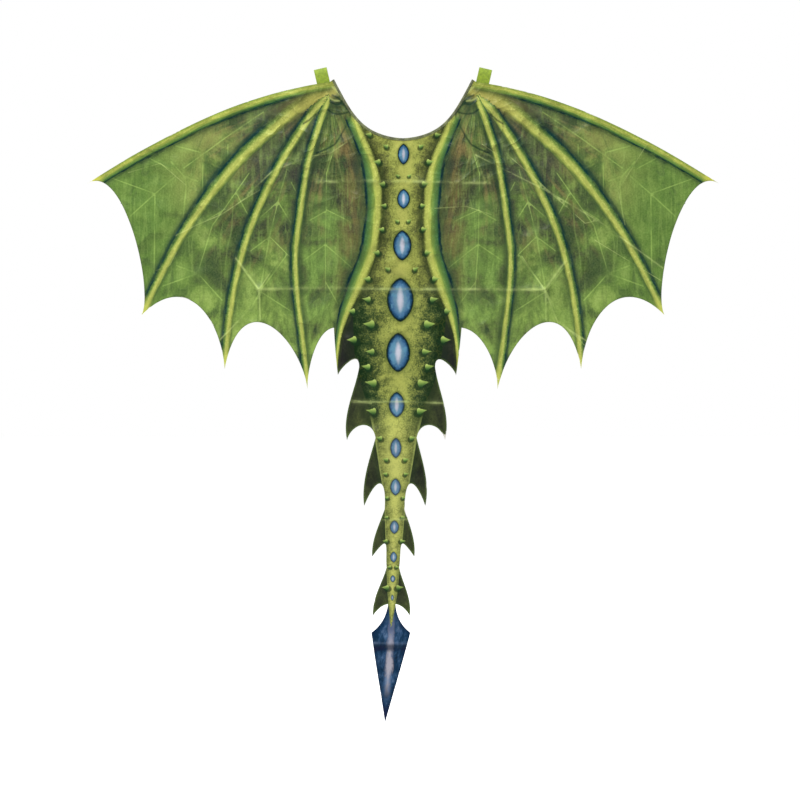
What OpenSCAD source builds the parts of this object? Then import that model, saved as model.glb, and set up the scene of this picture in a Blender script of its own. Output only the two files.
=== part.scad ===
// Dragon wings and tail of printed cloth, worn on the back with two elastic arm straps.
// The cloth hangs in the XZ plane. Its printed side faces -Y, and the wearer is on the +Y side.
// The origin is on the shoulder line, midway between the two straps. +Z is up, +X is the right wing.

/* [Cloth] */
// Distance between the two wing tips
wing_span = 1198; // [900:1:1500]
// Height from the shoulder line down to the point of the tail
drop = 1215; // [900:1:1500]
// Thickness of the cloth
cloth_thickness = 1.2; // [0.6:0.1:1.6]
// Width of the fold left open between two panels
fold_gap = 1.6; // [1.6:0.1:2.4]
// Width of the band sewn around the neckline
binding_width = 5; // [3:0.5:8]
// Thickness of the band sewn around the neckline
binding_thickness = 2.4; // [2:0.1:3]

/* [Arm straps] */
// Width of the elastic
strap_width = 25; // [16:1:30]
// Thickness of the elastic
strap_thickness = 1.2; // [0.8:0.1:1.6]
// Distance of each strap from the middle, at the shoulder
strap_offset = 151; // [145:1:160]
// Angle by which each strap leans outward at its top
strap_tilt = 13; // [8:1:15]
// Height of the strap above the shoulder line
strap_rise = 29; // [20:1:30]
// How far the free strap stands off the cloth
strap_reach = 96; // [70:1:100]
// Distance along the cloth from the shoulder down to the end of the free strap
strap_drop = 285; // [260:1:300]

/* [Finger loops] */
// Distance of each loop from the middle
finger_offset = 532; // [528:1:536]
// Width of the thin elastic
finger_width = 6; // [4:1:8]
// Thickness of the thin elastic
finger_thickness = 0.8; // [0.6:0.1:1]
// How far the loop stands off the cloth
finger_reach = 25; // [18:1:30]

/* [Care label] */
// Width of the label
label_width = 30; // [20:1:40]
// Length of the free flap of the label
label_length = 38; // [25:1:50]
// Thickness of the label
label_thickness = 0.6; // [0.4:0.1:0.8]

/* [Stitching] */
// Thickness of a sewn thread
thread = 0.5; // [0.3:0.1:0.7]

/* [Hidden] */

// The outline is drawn for a costume of these sizes and then scaled.
drawn_span = 1198;
drawn_drop = 1215;
span_scale = wing_span / drawn_span;
drop_scale = drop / drawn_drop;

// Upright folds in each wing, and level folds in the tail.
wing_folds = [205, 385, 512] * span_scale;
tail_folds = [470, 607, 830, 1064] * drop_scale;
beyond = 700 * max(span_scale, drop_scale);
tail_left = -135 * span_scale;
tail_right = 117 * span_scale;

// Points on each curved stretch of the outline.
curve_steps = 14;

// The tail hangs slightly to the left: height against sideways shift.
lean_table = [[-1215, -34], [-1045, -23], [-768, -14.5], [-466, -10], [-220, 0], [10, 0]];
lean_inner = 125;
lean_outer = 185;
function fade(x) = min(1, max(0, (lean_outer - abs(x)) / (lean_outer - lean_inner)));
function lean(x, z) = lookup(z, lean_table) * fade(x);

// One cubic curve, without its last point, so that curves chain together.
function curve(a, b, c, d) = [
    for (i = [0 : curve_steps - 1])
        let (t = i / curve_steps, s = 1 - t)
        s * s * s * a + 3 * s * s * t * b + 3 * s * t * t * c + t * t * t * d
];

// A line of points moved sideways by a distance, to the left of its direction.
function along(p, i) = p[min(i + 1, len(p) - 1)] - p[max(i - 1, 0)];
function shifted(p, distance) = [
    for (i = [0 : len(p) - 1])
        let (d = along(p, i))
        p[i] + distance * [-d.y, d.x] / norm(d)
];
function reversed(p) = [for (i = [len(p) - 1 : -1 : 0]) p[i]];

// The points of the outline of the right half, from the neck outward and down.
neck_low = [0, -107];
neck_peak = [131, 5];
shoulder = [139, 0];
wing_tip = [599, -193];
scallop_1 = [496, -442];
scallop_2 = [338, -544];
scallop_3 = [180, -582];
notch = [121, -466];
fin_1 = [112, -556];
waist_1 = [72, -541];
fin_2 = [93, -679];
waist_2 = [39, -675];
fin_3 = [58, -804];
waist_3 = [19, -810];
fin_4 = [40, -900];
waist_4 = [12, -921];
fin_5 = [35, -1012];
spade_neck = [7, -990];
spade_corner = [37, -1044];
tail_point = [0, -1215];

neckline = concat(curve(neck_low, [79, -103], [98, -57], neck_peak), [neck_peak]);
wing_edge = concat(
    curve(shoulder, [308, -23], [458, -102], wing_tip),
    curve(wing_tip, [528, -148], [471, -400], scallop_1),
    curve(scallop_1, [409, -355], [345, -450], scallop_2),
    curve(scallop_2, [308, -381], [201, -472], scallop_3),
    curve(scallop_3, [182, -549], [161, -471], notch)
);
tail_edge = concat(
    curve(notch, [119, -496], [116, -526], fin_1),
    curve(fin_1, [109, -543], [71, -505], waist_1),
    curve(waist_1, [79, -586], [104, -631], fin_2),
    curve(fin_2, [84, -646], [45, -638], waist_2),
    curve(waist_2, [50, -717], [66, -760], fin_3),
    curve(fin_3, [41, -758], [17, -735], waist_3),
    curve(waist_3, [28, -839], [43, -868], fin_4),
    curve(fin_4, [6, -853], [16, -881], waist_4),
    curve(waist_4, [20, -952], [38, -977], fin_5),
    curve(fin_5, [28, -1002], [20, -992], spade_neck),
    curve(spade_neck, [10, -1017], [22, -1033], spade_corner),
    curve(spade_corner, [26, -1101], [12, -1158], tail_point)
);

// One side of the cloth, leaned and scaled: side is 1 for the right half and -1 for the left half.
function placed(p, side) = [
    for (q = p) [(side * q.x + lean(q.x, q.y)) * span_scale, q.y * drop_scale]
];
// The cloth's own neckline lies under the binding's outer half.
cloth_neckline = shifted(neckline, -binding_width);
half_edge = concat(cloth_neckline, wing_edge, tail_edge);
whole_edge = concat(placed(half_edge, 1), [placed([tail_point], 1)[0]], reversed(placed(half_edge, -1)));

// Stands a flat shape, drawn in X and Z, upright with its mid-plane at y.
module upright(y, thickness) {
    translate([0, y + thickness / 2, 0]) rotate([90, 0, 0]) linear_extrude(thickness) children();
}

// The part of the cloth between two X values and two Z values.
module cloth(left, right, low, high) {
    intersection() {
        upright(0, cloth_thickness) polygon(whole_edge);
        translate([left, -cloth_thickness, low])
            cube([right - left, 2 * cloth_thickness, high - low]);
    }
}

module back_panel() {
    side = wing_folds[0] - fold_gap / 2;
    color("olivedrab") difference() {
        cloth(-side, side, -beyond, beyond);
        translate([tail_left, -cloth_thickness, -2 * beyond])
            cube([tail_right - tail_left, 2 * cloth_thickness, 2 * beyond - tail_folds[0] + fold_gap / 2]);
    }
}

module neck_binding() {
    edge = concat(neckline, reversed(cloth_neckline));
    color("darkslategray") union() {
        upright(0, binding_thickness) polygon(placed(edge, 1));
        upright(0, binding_thickness) polygon(placed(edge, -1));
    }
}

module wing_panel(side, first, last) {
    near = wing_folds[first] + fold_gap / 2;
    far = last > 2 ? beyond : wing_folds[last] - fold_gap / 2;
    if (side > 0) cloth(near, far, -beyond, beyond);
    else cloth(-far, -near, -beyond, beyond);
}

module wing_arm_panel(side) { color("olivedrab") wing_panel(side, 0, 1); }
module wing_forearm_panel(side) { color("darkolivegreen") wing_panel(side, 1, 2); }
module wing_tip_panel(side) { color("olivedrab") wing_panel(side, 2, 3); }

module tail_panel(upper, lower) {
    top = tail_folds[upper] + fold_gap / 2;
    bottom = lower > 3 ? 2 * beyond : tail_folds[lower] - fold_gap / 2;
    cloth(tail_left, tail_right, -bottom, -top);
}

module tail_root_panel() { color("yellowgreen") tail_panel(0, 1); }
module tail_middle_panel() { color("darkolivegreen") tail_panel(1, 2); }
module tail_lower_panel() { color("yellowgreen") tail_panel(2, 3); }
module tail_spade() { color("midnightblue") tail_panel(3, 4); }

// Arm straps. Each is drawn in its own plane: first number away from the cloth, second number up.
strap_level = (cloth_thickness + strap_thickness) / 2;
strap_clear = 12;
strap_top_gap = 5;
strap_end_length = 30;
strap_seam = 3;
strap_crown = strap_rise - strap_thickness / 2;
free_strap = concat(
    curve([strap_level, strap_top_gap], [strap_level, 23], [6, strap_crown], [14, strap_crown]),
    curve([14, strap_crown], [60, 24], [strap_reach, -60], [strap_reach, -125]),
    curve([strap_reach, -125], [strap_reach, -190], [strap_clear, 50 - strap_drop], [strap_clear, -strap_drop]),
    [[strap_clear, -strap_drop]]
);
upper_end = [[strap_level, strap_top_gap - 1], [strap_level, -strap_end_length]];
foot = -strap_drop - 30;
lower_end = concat(
    curve([strap_clear, -strap_drop - 1.5], [strap_clear, foot + 15], [strap_level, foot + 15], [strap_level, foot]),
    [[strap_level, foot], [strap_level, foot - strap_end_length]]
);

// A band of elastic that follows a line of points, centred on X = 0.
module band(line, width, thickness) {
    ring = concat(shifted(line, thickness / 2), reversed(shifted(line, -thickness / 2)));
    translate([-width / 2, 0, 0]) rotate([90, 0, 90]) linear_extrude(width) polygon(ring);
}

module strap_place(side) {
    translate([side * strap_offset * span_scale, 0, -1]) rotate([0, side * strap_tilt, 0]) children();
}

module arm_strap(side) {
    color("yellowgreen") strap_place(side) band(free_strap, strap_width, strap_thickness);
}
module strap_upper_end(side) {
    color("yellowgreen") strap_place(side) band(upper_end, strap_width, strap_thickness);
}
module strap_lower_end(side) {
    color("yellowgreen") strap_place(side) band(lower_end, strap_width, strap_thickness);
}

// A sewn box of thread, flat on the wearer's side, between two heights.
module sewn_box(y, width, low, high) {
    translate([-width / 2, y, low]) difference() {
        cube([width, thread, high - low]);
        translate([thread, -thread, thread]) cube([width - 2 * thread, 3 * thread, high - low - 2 * thread]);
    }
}

module strap_stitching(side) {
    width = strap_width - 2 * strap_seam;
    y = cloth_thickness / 2 + strap_thickness;
    color("darkolivegreen") strap_place(side) union() {
        sewn_box(y, width, strap_seam - strap_end_length, -2 * strap_seam);
        sewn_box(y, width, foot - strap_end_length + strap_seam, foot - strap_seam);
    }
}

// Finger loops, on the wearer's side of the wing tips, drawn in the same way as the straps.
finger_level = (cloth_thickness + finger_thickness) / 2;
finger_clear = 5;
finger_top = -175;
finger_bottom = -215;
finger_middle = (finger_top + finger_bottom) / 2;
finger_rise = 6;
finger_tack = 9;
finger_gap = 1;
finger_line = concat(
    curve([finger_clear, finger_top], [finger_clear, finger_top - 8], [finger_reach, finger_top],
          [finger_reach, finger_middle]),
    curve([finger_reach, finger_middle], [finger_reach, finger_bottom], [finger_clear, finger_bottom + 8],
          [finger_clear, finger_bottom]),
    [[finger_clear, finger_bottom]]
);
// One end of a finger loop: way is 1 above the loop and -1 below it.
function finger_end(start, way) =
    let (lift = start + way * finger_gap, root = lift + way * finger_rise)
    concat(
        curve([finger_clear, lift], [finger_clear, lift + way * 3], [finger_level, root - way * 3],
              [finger_level, root]),
        [[finger_level, root], [finger_level, root + way * finger_tack]]
    );

module finger_place(side) {
    translate([side * finger_offset * span_scale, 0, 0]) children();
}
module finger_loop(side) {
    color("darkgreen") finger_place(side) band(finger_line, finger_width, finger_thickness);
}
module finger_loop_ends(side) {
    color("darkgreen") finger_place(side) union() {
        band(finger_end(finger_top, 1), finger_width, finger_thickness);
        band(finger_end(finger_bottom, -1), finger_width, finger_thickness);
    }
}
module finger_loop_stitching(side) {
    y = cloth_thickness / 2 + finger_thickness;
    above = finger_top + finger_gap + finger_rise;
    below = finger_bottom - finger_gap - finger_rise;
    width = finger_width - 2;
    color("darkolivegreen") finger_place(side) union() {
        sewn_box(y, width, above + 2, above + finger_tack - 1);
        sewn_box(y, width, below - finger_tack + 1, below - 2);
    }
}

// Care label, blank, sewn below the neckline on the wearer's side.
label_top = -118 * drop_scale;
label_fold = label_top - 6;
label_gap = 0.8;
label_y = cloth_thickness / 2;

module label_piece(low, high) {
    translate([-label_width / 2, label_y, low]) cube([label_width, label_thickness, high - low]);
}
module care_label() { color("white") label_piece(label_fold - label_gap - label_length, label_fold - label_gap); }
module care_label_top() { color("white") label_piece(label_fold, label_top); }
module care_label_stitching() {
    color("gray") translate([0, 0, label_fold + 2])
        sewn_box(label_y + label_thickness, label_width - 2, 0, 3 * thread);
}

back_panel();
neck_binding();
wing_arm_panel(1);  // right_wing_arm_panel
wing_forearm_panel(1);  // right_wing_forearm_panel
wing_tip_panel(1);  // right_wing_tip_panel
wing_arm_panel(-1);  // left_wing_arm_panel
wing_forearm_panel(-1);  // left_wing_forearm_panel
wing_tip_panel(-1);  // left_wing_tip_panel
arm_strap(1);  // right_arm_strap
strap_upper_end(1);  // right_strap_upper_end
strap_lower_end(1);  // right_strap_lower_end
strap_stitching(1);  // right_strap_stitching
arm_strap(-1);  // left_arm_strap
strap_upper_end(-1);  // left_strap_upper_end
strap_lower_end(-1);  // left_strap_lower_end
strap_stitching(-1);  // left_strap_stitching
finger_loop(1);  // right_finger_loop
finger_loop_ends(1);  // right_finger_loop_ends
finger_loop_stitching(1);  // right_finger_loop_stitching
finger_loop(-1);  // left_finger_loop
finger_loop_ends(-1);  // left_finger_loop_ends
finger_loop_stitching(-1);  // left_finger_loop_stitching
tail_root_panel();
tail_middle_panel();
tail_lower_panel();
tail_spade();
care_label();
care_label_top();
care_label_stitching();
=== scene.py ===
import bpy, math
import numpy as np
from mathutils import Matrix, Vector, kdtree
from mathutils.geometry import delaunay_2d_cdt


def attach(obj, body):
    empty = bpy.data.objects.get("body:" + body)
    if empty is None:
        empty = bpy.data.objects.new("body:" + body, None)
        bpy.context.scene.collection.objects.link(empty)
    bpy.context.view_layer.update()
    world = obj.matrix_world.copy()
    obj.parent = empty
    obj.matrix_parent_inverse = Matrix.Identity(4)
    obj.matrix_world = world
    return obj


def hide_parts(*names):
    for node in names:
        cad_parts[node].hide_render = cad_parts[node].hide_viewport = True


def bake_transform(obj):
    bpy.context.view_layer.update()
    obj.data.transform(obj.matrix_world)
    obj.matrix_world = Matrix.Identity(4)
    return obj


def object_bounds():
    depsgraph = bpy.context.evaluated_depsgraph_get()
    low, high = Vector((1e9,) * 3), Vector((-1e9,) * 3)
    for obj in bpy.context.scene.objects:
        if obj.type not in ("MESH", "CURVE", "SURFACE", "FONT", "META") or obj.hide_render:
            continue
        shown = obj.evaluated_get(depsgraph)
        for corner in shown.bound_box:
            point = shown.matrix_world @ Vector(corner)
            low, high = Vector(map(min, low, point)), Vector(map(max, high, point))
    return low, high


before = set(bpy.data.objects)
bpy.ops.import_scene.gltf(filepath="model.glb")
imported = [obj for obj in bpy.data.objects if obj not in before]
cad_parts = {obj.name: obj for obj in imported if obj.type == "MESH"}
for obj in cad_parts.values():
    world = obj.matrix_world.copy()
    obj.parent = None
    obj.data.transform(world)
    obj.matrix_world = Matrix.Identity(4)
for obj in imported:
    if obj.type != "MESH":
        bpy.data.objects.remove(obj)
CAD_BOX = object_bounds()

# ---------------------------------------------------------------- sizes
# Outline points and print points are in millimetres, in X and Z, and are turned into metres by MM.
MM = 0.001
CLOTH = 0.0007          # thickness of the cloth
GRID = 0.0042           # spacing of the cloth's mesh
GRID_GAP = 0.55         # least distance from a grid point to a fixed point, as a share of that spacing
SPARE = 0.01            # how far the lines that cut the cloth run past its outline
CURVE_STEPS = 30        # points on each curved stretch of the outline
RIM_STEP = 0.0012       # spacing of the points that the distance to the edge is measured from
RIM_NEAR = 0.0015       # a wall no further than this from the outline is the cloth's cut edge
BATCH = 20000           # points measured at once, to keep the memory small
WING_CUTS = [0.165, 0.290, 0.440]           # where one strip of wing cloth ends and the next begins
TAIL_CUTS = [-0.445, -0.535, -0.718, -0.945]
WING_FOLDS = [0.205, 0.385, 0.512]          # the upright folds of the CAD
TAIL_FOLDS = [-0.470, -0.607, -0.830, -1.064]


def rgb(r, g, b):
    """An sRGB colour, 0 to 255, as a linear RGBA."""
    def linear(c):
        c /= 255
        return c / 12.92 if c <= 0.04045 else ((c + 0.055) / 1.055) ** 2.4
    return (linear(r), linear(g), linear(b), 1.0)


def added(name, data):
    """A new object in the scene."""
    obj = bpy.data.objects.new(name, data)
    bpy.context.collection.objects.link(obj)
    return obj


# ---------------------------------------------------------------- flat geometry
def curve(a, b, c, d, steps=CURVE_STEPS):
    """A cubic curve in metres from four points in millimetres, without its last point."""
    t = (np.arange(steps) / steps)[:, None]
    a, b, c, d = (np.array(p, float) * MM for p in (a, b, c, d))
    return (1 - t) ** 3 * a + 3 * (1 - t) ** 2 * t * b + 3 * (1 - t) * t * t * c + t ** 3 * d


def spline(points, per=12):
    """A smooth line in metres through points in millimetres, of two or more numbers each."""
    p = np.array(points, float) * MM
    p = np.vstack([2 * p[0] - p[1], p, 2 * p[-1] - p[-2]])
    out = []
    for i in range(1, len(p) - 2):
        t = (np.arange(per) / per)[:, None]
        a, b, c, d = p[i - 1 : i + 3]
        out.append(0.5 * (2 * b + (c - a) * t + (2 * a - 5 * b + 4 * c - d) * t * t
                          + (3 * b - a - 3 * c + d) * t ** 3))
    return np.vstack(out + [p[-2:-1]])


# The tail hangs slightly to the left: height and sideways shift.
LEAN = np.array([(-1215, -34), (-1045, -23), (-768, -14.5), (-466, -10), (-220, 0), (10, 0)]) * MM
LEAN_INNER, LEAN_OUTER = 0.125, 0.185


def lean(x, z):
    """How far the cloth is shifted sideways at a height; it fades out towards the wings."""
    fade = np.clip((LEAN_OUTER - np.abs(x)) / (LEAN_OUTER - LEAN_INNER), 0, 1)
    return np.interp(z, LEAN[:, 0], LEAN[:, 1]) * fade


NECK_LOW, NECK_PEAK, SHOULDER = (0, -107), (131, 5), (139, 0)
WING_TIP, SCALLOP_1, SCALLOP_2, SCALLOP_3 = (599, -193), (496, -442), (338, -544), (180, -582)
NOTCH, FIN_1, WAIST_1, FIN_2, WAIST_2 = (121, -466), (112, -556), (72, -541), (93, -679), (39, -675)
FIN_3, WAIST_3, FIN_4, WAIST_4, FIN_5 = (58, -804), (19, -810), (40, -900), (12, -921), (35, -1012)
SPADE_NECK, SPADE_CORNER, TAIL_POINT = (7, -990), (37, -1044), (0, -1215)

NECKLINE = np.vstack([curve(NECK_LOW, (79, -103), (98, -57), NECK_PEAK), np.array([NECK_PEAK]) * MM])
LEADING_EDGE = curve(SHOULDER, (308, -23), (458, -102), WING_TIP, 60)
HALF_EDGE = np.vstack([
    NECKLINE,
    LEADING_EDGE,
    curve(WING_TIP, (528, -148), (471, -400), SCALLOP_1, 50),
    curve(SCALLOP_1, (409, -355), (345, -450), SCALLOP_2, 50),
    curve(SCALLOP_2, (308, -381), (201, -472), SCALLOP_3, 50),
    curve(SCALLOP_3, (182, -549), (161, -471), NOTCH),
    curve(NOTCH, (119, -496), (116, -526), FIN_1),
    curve(FIN_1, (109, -543), (71, -505), WAIST_1),
    curve(WAIST_1, (79, -586), (104, -631), FIN_2),
    curve(FIN_2, (84, -646), (45, -638), WAIST_2),
    curve(WAIST_2, (50, -717), (66, -760), FIN_3),
    curve(FIN_3, (41, -758), (17, -735), WAIST_3),
    curve(WAIST_3, (28, -839), (43, -868), FIN_4),
    curve(FIN_4, (6, -853), (16, -881), WAIST_4),
    curve(WAIST_4, (20, -952), (38, -977), FIN_5),
    curve(FIN_5, (28, -1002), (20, -992), SPADE_NECK),
    curve(SPADE_NECK, (10, -1017), (22, -1033), SPADE_CORNER),
    curve(SPADE_CORNER, (26, -1101), (12, -1158), TAIL_POINT),
])


def placed(points, side):
    """Half-outline points on one side of the cloth, with the lean."""
    p = np.array(points, float)
    return np.column_stack([side * p[:, 0] + lean(p[:, 0], p[:, 1]), p[:, 1]])


OUTLINE = np.vstack([placed(HALF_EDGE, 1), placed(np.array([TAIL_POINT]) * MM, 1),
                     placed(HALF_EDGE, -1)[:0:-1]])
NOTCH_RIGHT = placed(np.array([NOTCH]) * MM, 1)[0]
NOTCH_LEFT = placed(np.array([NOTCH]) * MM, -1)[0]

# Creases from packing, as lines across the cloth, with how sharp each is.
CREASES = [
    (1.0, [(-167, -190), (-60, -188), (60, -190), (165, -192)]),
    (1.0, [(-275, -393), (-140, -391), (0, -393), (140, -393), (269, -394)]),
    (0.9, [(-273, -394), (-317, -334)]),
    (0.8, [(-273, -394), (-271, -451)]),
    (0.8, [(-290, -430), (-349, -491)]),
    (0.7, [(-273, -394), (-232, -332)]),
    (0.9, [(269, -394), (307, -341)]),
    (0.8, [(269, -394), (271, -451)]),
    (0.8, [(269, -394), (294, -457), (351, -493)]),
    (0.7, [(269, -394), (225, -330)]),
    (0.8, [(137, -138), (269, -205), (373, -265), (497, -356)]),
    (0.6, [(364, -300), (493, -379)]),
    (0.6, [(465, -114), (408, -205), (421, -271)]),
    (0.7, [(-430, -291), (-393, -272), (-344, -251), (-300, -222)]),
    (0.8, [(-192, -147), (-247, -169), (-295, -214)]),
    (0.6, [(-271, -205), (-308, -227)]),
    (0.7, [(-106, -114), (-137, -135), (-174, -141)]),
    (0.6, [(-469, -358), (-442, -348), (-430, -324)]),
    (0.6, [(-521, -172), (-460, -154), (-411, -196)]),
    (0.7, [(-60, -610), (-110, -600)]),
    (0.6, [(200, -140), (245, -178), (290, -220), (345, -268), (372, -262)]),
    (0.6, [(150, -118), (196, -150)]),
    (0.6, [(300, -455), (345, -500)]),
    (0.6, [(60, -240), (120, -236), (168, -252)]),
    (0.9, [(-100, -607), (0, -606), (80, -609)]),
    (0.9, [(-40, -830), (14, -829)]),
    (1.0, [(-60, -1063), (14, -1065)]),
]
CREASE_WIDTH, CREASE_HEIGHT = 0.009, 0.0028
CREASE_LINES = [(a, np.array(p, float) * MM) for a, p in CREASES]

# Places where something is sewn on, so the cloth lies flat there.
ANCHORS = [(0.150, -0.015), (0.078, -0.325), (0.0, -0.135), (0.532, -0.195)]
ANCHOR_REACH = 0.045


def to_segments(p, a, b):
    """From each point to each segment: the distance, the side it is on, and the share of the segment's length
    to the nearest spot."""
    d = b - a
    t = np.clip(((p[:, None] - a) * d).sum(2) / np.maximum((d * d).sum(1), 1e-12), 0, 1)
    off = p[:, None] - (a + t[..., None] * d)
    side = np.sign(d[:, 0] * off[..., 1] - d[:, 1] * off[..., 0])
    return np.linalg.norm(off, axis=2), side, t


def to_line(p, line):
    """From each point to a line: the distance, with the side as its sign, and the share of the line's length
    to the nearest spot."""
    a, b = line[:-1], line[1:]
    length = np.linalg.norm(b - a, axis=1)
    start = np.concatenate([[0], np.cumsum(length)[:-1]]) / length.sum()
    out, share = np.empty(len(p)), np.empty(len(p))
    for k in range(0, len(p), BATCH):
        far, side, t = to_segments(p[k : k + BATCH], a, b)
        n = far.argmin(1)
        i = np.arange(len(n))
        out[k : k + BATCH] = far[i, n] * np.where(side[i, n] == 0, 1, side[i, n])
        share[k : k + BATCH] = start[n] + t[i, n] * length[n] / length.sum()
    return out, share


# Small wrinkles: turns per metre along X and Z, phase, and height in millimetres.
WRINKLES = [(9.5, 4.0, 0.3, 1.9), (-6.0, 11.0, 1.9, 1.8), (13.0, -9.0, 4.1, 1.3), (3.0, 17.0, 2.6, 1.15),
            (-18.0, -7.0, 5.2, 0.85), (8.0, -24.0, 0.9, 0.65), (27.0, 6.0, 3.3, 0.45)]


def wrinkles(x, z):
    """Sharp little folds in several directions, which come and go across the cloth."""
    out = np.zeros(len(x))
    for i, (fx, fz, phase, rise) in enumerate(WRINKLES):
        bend = 0.9 * np.sin(11 * x + 5 * z + i) + 0.7 * np.sin(14 * z - 6 * x + 2 * i)
        here = (0.5 + 0.5 * np.sin((8 + i) * x + 3 * i) * np.sin((9 - i) * z + 1 + i)) ** 1.6
        out += rise * MM * here * (np.abs(np.sin(math.pi * (fx * x + fz * z) + phase + bend)) - 0.6)
    near = np.exp(-((np.abs(x) - 0.13) ** 2 + (z + 0.06) ** 2) / 0.13 ** 2)
    return out * (1 + 0.5 * near)


def height(p):
    """How far the cloth stands off its flat plane, towards the wearer."""
    x, z = p[:, 0], p[:, 1]
    wave = 0.0024 * np.sin(9 * x + 1.3) * np.sin(7 * z + 0.4)
    wave += 0.0013 * np.sin(23 * x + 11 * z) + 0.0010 * np.sin(31 * z - 8 * x + 2)
    wave += 0.0006 * np.sin(61 * x + 17 * z + 1) * np.sin(47 * z + 2)
    ridge = np.zeros(len(p))
    for sharp, line in CREASE_LINES:
        far = np.abs(to_line(p, line)[0])
        ridge -= sharp * CREASE_HEIGHT * np.exp(-far / CREASE_WIDTH)
    calm = np.ones(len(p))
    for ax, az in ANCHORS:
        r2 = (np.abs(x) - ax) ** 2 + (z - az) ** 2
        calm *= 1 - np.exp(-((r2 / ANCHOR_REACH ** 2) ** 2))
    return (wave + ridge + wrinkles(x, z)) * calm


# ---------------------------------------------------------------- the print's lines, on the right wing
BONES = [  # centre line, half width at the shoulder, half width at the tip, in millimetres
    ([(136, -14), (181, -34), (231, -72), (326, -162), (411, -276), (468, -382), (496, -442)], 13, 5.5),
    ([(150, -33), (169, -52), (192, -86), (240, -166), (289, -271), (318, -373), (334, -478), (338, -544)],
     7.6, 6),
    ([(144, -37), (156, -68), (168, -105), (183, -162), (196, -246), (205, -320), (203, -390), (193, -478),
      (180, -582)], 6.2, 5.5),
]
ROOT_BAND = [
    (100, -50), (88, -83), (72, -120), (59, -155), (52, -188), (49, -227), (50, -265), (53, -305), (60, -334),
    (70, -363), (84, -400), (96, -430), (106, -463), (113, -500), (116, -540), (120, -700),
]
VEINS = [
    [(550, -183), (470, -212), (431, -178)], [(470, -212), (516, -254)], [(470, -212), (472, -363)],
    [(440, -151), (416, -178), (411, -197), (417, -257)], [(480, -145), (444, -164)],
    [(431, -121), (385, -133)], [(380, -145), (380, -206)], [(416, -163), (340, -108), (265, -57)],
    [(332, -118), (332, -148)], [(416, -178), (390, -188)],
    [(292, -173), (340, -242), (362, -272), (383, -341), (389, -363)],
    [(455, -387), (389, -363), (343, -414)],
    [(317, -209), (295, -250)], [(340, -242), (372, -262)], [(389, -363), (430, -348)],
    [(220, -166), (237, -227), (253, -293), (262, -341), (271, -399)],
    [(271, -257), (237, -227), (213, -266)],
    [(289, -320), (253, -293), (213, -333)], [(310, -345), (271, -397), (222, -330)],
    [(292, -438), (271, -397), (271, -445)], [(271, -397), (210, -436)],
    [(131, -127), (145, -173), (145, -307), (142, -400), (150, -450)],
    [(102, -263), (143, -243), (176, -262)],
    [(189, -339), (145, -308), (92, -352)], [(142, -379), (116, -420)],
    [(212, -190), (204, -206)],
]
# Dark and light strokes around the shoulder: print lines, and painted shade and painted highlights of the
# cloth's wrinkles.
DARK_PRINT_AND_SHADE_STROKES = [
    [(143, -52), (134, -59), (123, -61), (111, -59), (102, -56)],
    [(139, -36), (127, -43), (116, -41), (109, -46), (100, -59), (101, -78)],
    [(134, -25), (123, -30), (114, -39), (105, -52)],
    [(101, -70), (111, -89), (121, -107), (130, -119), (146, -128), (164, -135)],
    [(165, -60), (178, -72), (189, -79)],
]
LIGHT_PRINT_AND_HIGHLIGHT_STROKES = [
    [(134, -10), (118, -25), (107, -41), (97, -58)],
    [(128, -9), (113, -26), (101, -46)],
    [(140, -30), (130, -35), (120, -36)],
    [(132, -124), (156, -190)], [(130, -124), (114, -188)], [(131, -124), (135, -188)],
    [(146, -131), (164, -139), (186, -158)],
]
# The body's half width down the back and tail, and where its middle line runs: height, half width, shift.
BODY = np.array([
    (-60, 112, 0), (-83, 106, 0), (-119, 80, 1), (-155, 51, 1), (-190, 42, 1), (-226, 40, 1), (-265, 41, 0),
    (-294, 46, -1), (-334, 56, -2), (-362, 66, -3), (-396, 80, -4), (-427, 88, -6), (-459, 86, -7),
    (-512, 82, -9), (-565, 71, -11), (-612, 54, -12), (-647, 46, -13), (-679, 39, -13.5), (-736, 30, -14),
    (-762, 25.5, -14), (-793, 20, -15), (-849, 17, -16.5), (-878, 15, -17.5), (-906, 13, -18),
    (-929, 12, -19), (-971, 9, -20), (-1038, 0.5, -23), (-1215, 0.3, -34),
]) * MM
# Gems down the spine: height, width, length.
GEMS = [(-137, 22, 39), (-222, 24, 37), (-310, 35, 57), (-413, 50, 83), (-513, 45, 74), (-612, 30, 48),
        (-694, 21, 38), (-768, 20, 32), (-844, 17, 26), (-901, 13, 20), (-942, 9, 13), (-978, 5, 11)]
# Thorns beside them, in pairs: distance from the middle line, height, length, how far the tip points up.
THORNS = [
    (63, -101, 13, 0.2), (32, -123, 12, 0.5), (47, -152, 15, 0.1), (10, -179, 9, 0.6), (38, -194, 14, 0.1),
    (35, -235, 12, 0.2), (10, -265, 10, 0.6), (38, -280, 13, 0.1), (46, -324, 14, 0.1), (25, -356, 12, 0.6),
    (62, -374, 15, 0.1), (60, -413, 16, 0.2), (88, -435, 15, 0.1), (52, -460, 22, 0.1), (84, -489, 19, 0.0),
    (49, -512, 17, 0.1), (56, -541, 17, 0.2), (44, -572, 22, 0.2), (43, -625, 19, 0.2), (29, -676, 13, 0.3),
    (17, -717, 12, 0.3), (18, -744, 10, 0.3), (15, -789, 10, 0.3), (14, -826, 9, 0.2), (14, -871, 11, 0.1),
    (6, -920, 9, 0.1), (10, -959, 14, 0.1),
]


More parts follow.
